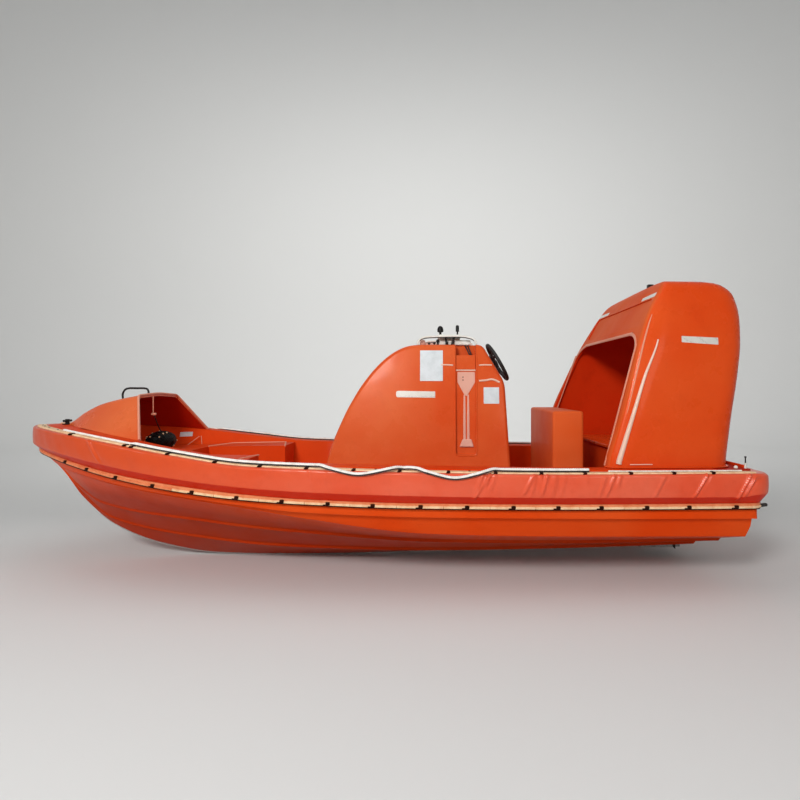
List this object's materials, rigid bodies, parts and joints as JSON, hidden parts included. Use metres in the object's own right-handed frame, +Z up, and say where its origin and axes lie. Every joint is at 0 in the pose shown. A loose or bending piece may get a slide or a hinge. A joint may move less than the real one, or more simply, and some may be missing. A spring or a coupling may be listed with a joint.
{
  "type": "rigid rescue boat",
  "caption": "Open orange rescue boat with fender collar, bow cuddy, midship steering console, aft hood and water jet.",
  "frame": {"origin": "on the waterline and the centre line, half way along the boat", "axes": "+X towards the bow, +Y to port, +Z up"},
  "size_m": [6.0019, 2.3562, 2.384],
  "materials": {
    "orange_gelcoat": "glossy moulded gelcoat over glass-reinforced plastic",
    "orange_liner": "satin gelcoat with a non-slip grain on what is walked on",
    "orange_cover": "coated fabric over foam, matt with soft wrinkles",
    "pale_strip": "weathered plastic strip",
    "white_rope": "laid rope",
    "white_gelcoat": "glossy",
    "black_plastic": "satin",
    "black_rubber": "matt",
    "black_net": "knotted cord net",
    "stainless_steel": "polished",
    "cast_aluminium": "sand cast, bare",
    "engine_paint": "grey enamel"
  },
  "bodies": {
    "boat": {"hull": "orange_gelcoat", "keel_band": "stainless_steel", "cockpit_liner": "orange_liner", "foredeck": "orange_liner", "aft_deck": "orange_liner", "fender_bow": "orange_cover", "fender_port": "orange_cover", "fender_starboard": "orange_cover", "fender_stern": "orange_cover", "lower_strip_port": "pale_strip", "lower_strip_starboard": "pale_strip", "upper_strip_port": "pale_strip", "upper_strip_starboard": "pale_strip", "lifeline_port": "white_rope", "lifeline_starboard": "white_rope", "aft_line_port": "white_rope", "aft_line_starboard": "white_rope", "cuddy": "orange_gelcoat", "cuddy_handrail": "stainless_steel", "bow_bollard": "black_plastic", "bow_locker": "orange_liner", "bench_port": "orange_liner", "bench_starboard": "orange_liner", "stowed_net": "black_net", "console": "orange_gelcoat", "console_rail_port": "white_gelcoat", "console_rail_starboard": "white_gelcoat", "instrument_panel": "white_gelcoat", "console_shelf": "white_gelcoat", "console_lamp": "black_plastic", "compass": "black_plastic", "steering_column": "stainless_steel", "seat_box": "orange_gelcoat", "hood": "orange_gelcoat", "hood_light": "black_plastic", "engine_casing": "orange_liner", "engine": "engine_paint", "stern_post": "black_plastic", "jet_housing": "cast_aluminium", "intake_grille": "cast_aluminium"},
    "steering_wheel": {"steering_wheel": "black_rubber"},
    "engine_hatch": {"engine_hatch": "orange_gelcoat"},
    "steering_nozzle": {"steering_nozzle": "cast_aluminium"},
    "reverse_bucket": {"reverse_bucket": "cast_aluminium"}
  },
  "joints": [
    {"name": "steering_turn", "type": "hinge", "parent": "boat", "child": "steering_wheel", "pos_m": [-1.11, 0, 1.29], "axis": [-0.8633, 0, 0.5047], "range_deg": [-540, 540]},
    {"name": "nozzle_steer", "type": "hinge", "parent": "boat", "child": "steering_nozzle", "pos_m": [-2.79, 0, -0.2], "axis": [0, 0, 1], "range_deg": [-27, 27]},
    {"name": "bucket_drop", "type": "hinge", "parent": "steering_nozzle", "child": "reverse_bucket", "pos_m": [-2.8, 0, -0.2], "axis": [0, -1, 0], "range_deg": [0, 80]},
    {"name": "hatch_lift", "type": "hinge", "parent": "boat", "child": "engine_hatch", "pos_m": [-2.58, 0, 0.5553], "axis": [0, -1, 0], "range_deg": [0, 75]}
  ],
  "couplings": [
    {"joint": "nozzle_steer", "follows": "steering_turn", "ratio": -0.05}
  ]
}
